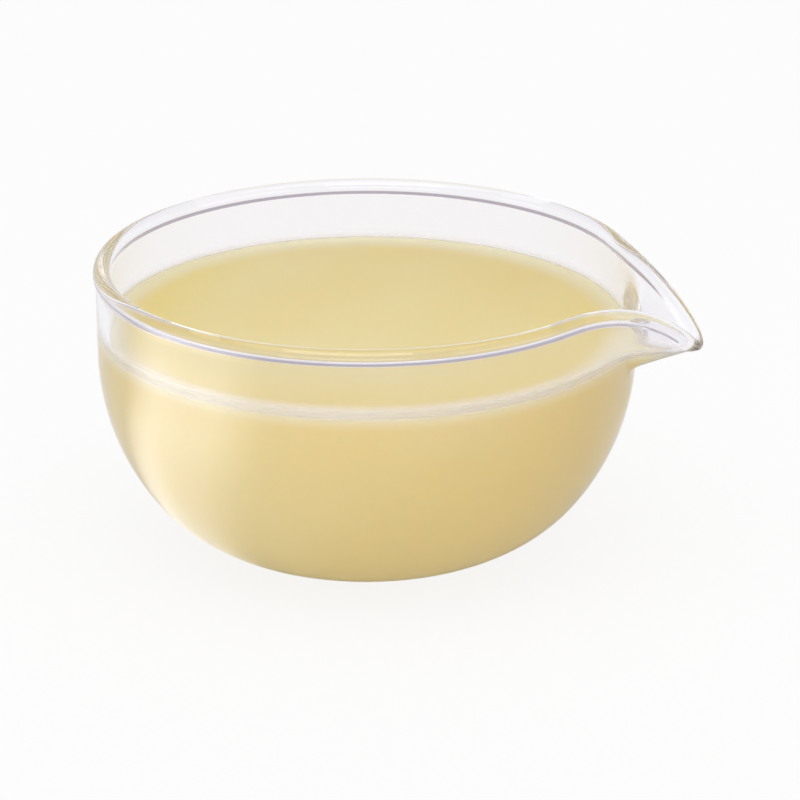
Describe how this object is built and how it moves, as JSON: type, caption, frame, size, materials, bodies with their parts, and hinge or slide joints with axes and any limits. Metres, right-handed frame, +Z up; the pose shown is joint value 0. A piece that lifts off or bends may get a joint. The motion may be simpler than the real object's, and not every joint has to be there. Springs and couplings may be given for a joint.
{
  "type": "glass pouring jug of condensed milk",
  "caption": "Round clear glass pouring jug with a rolled rim and a pulled lip, filled with thick sweet condensed milk.",
  "frame": {"origin": "centre of the foot's underside, where the jug stands", "axes": "+Z up along the bowl's axis, +X towards the pouring lip"},
  "size_m": [0.1407, 0.125, 0.0677],
  "materials": {
    "jug_glass": "clear, fire-polished",
    "condensed_milk": "thick glossy cream yellow liquid"
  },
  "bodies": {
    "root": {"glass_jug": "jug_glass", "condensed_milk": "condensed_milk"}
  },
  "joints": []
}
